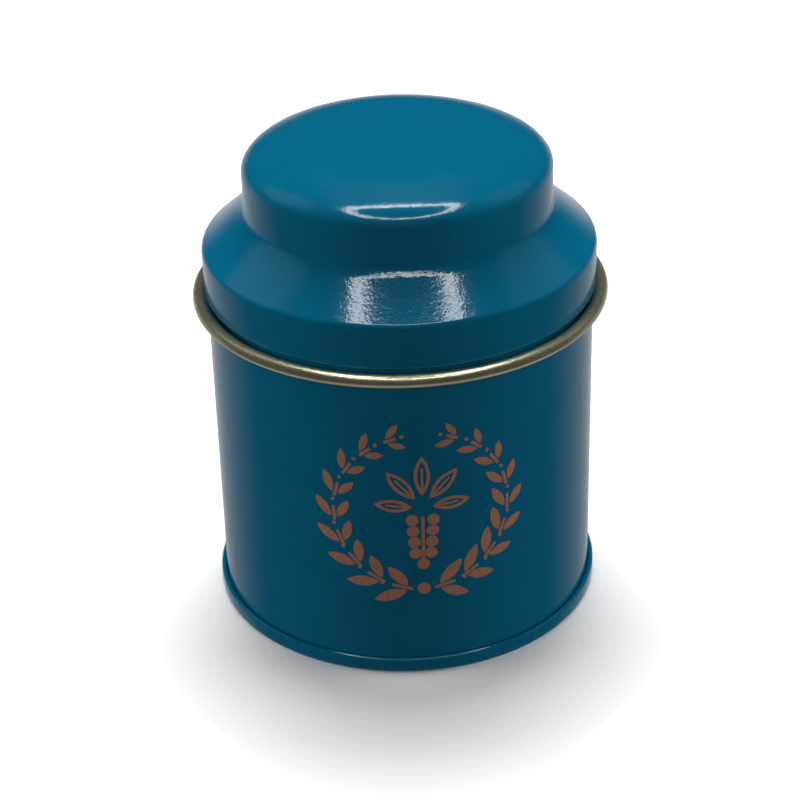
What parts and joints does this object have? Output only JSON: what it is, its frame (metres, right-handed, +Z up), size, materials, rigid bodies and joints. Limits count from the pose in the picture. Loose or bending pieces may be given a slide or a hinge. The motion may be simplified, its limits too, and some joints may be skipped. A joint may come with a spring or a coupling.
{
  "type": "spice tin",
  "caption": "Small round tinplate spice tin with a curled mouth, a double-seamed foot and a stepped, domed plug lid that lifts straight off.",
  "frame": {"origin": "middle of the foot, on the plane that the tin stands on", "axes": "+Z up along the tin's axis, -Y out of the side with the emblem, +X to the right of someone facing the emblem"},
  "size_m": [0.0538, 0.0538, 0.0644],
  "materials": {
    "body_lacquer": "glossy dark teal lacquer with fine orange peel, gold lacquer inside",
    "seam_lacquer": "glossy dark teal lacquer",
    "foot_lacquer": "glossy dark teal lacquer, gold lacquer inside",
    "lid_lacquer": "glossy dark teal lacquer with fine orange peel, gold lacquer inside",
    "gold_lacquer": "satin gold lacquer over bright tinplate",
    "copper_ink": "matt copper-brown printing ink"
  },
  "bodies": {
    "tin": {"body_wall": "body_lacquer", "rim_curl": "gold_lacquer", "side_seam": "seam_lacquer", "bottom_end": "foot_lacquer", "emblem": "copper_ink"},
    "lid": {"lid": "lid_lacquer"}
  },
  "joints": [
    {"name": "lid_lift", "type": "slide", "parent": "tin", "child": "lid", "axis": [0, 0, 1], "range_m": [0, 0.05]}
  ]
}
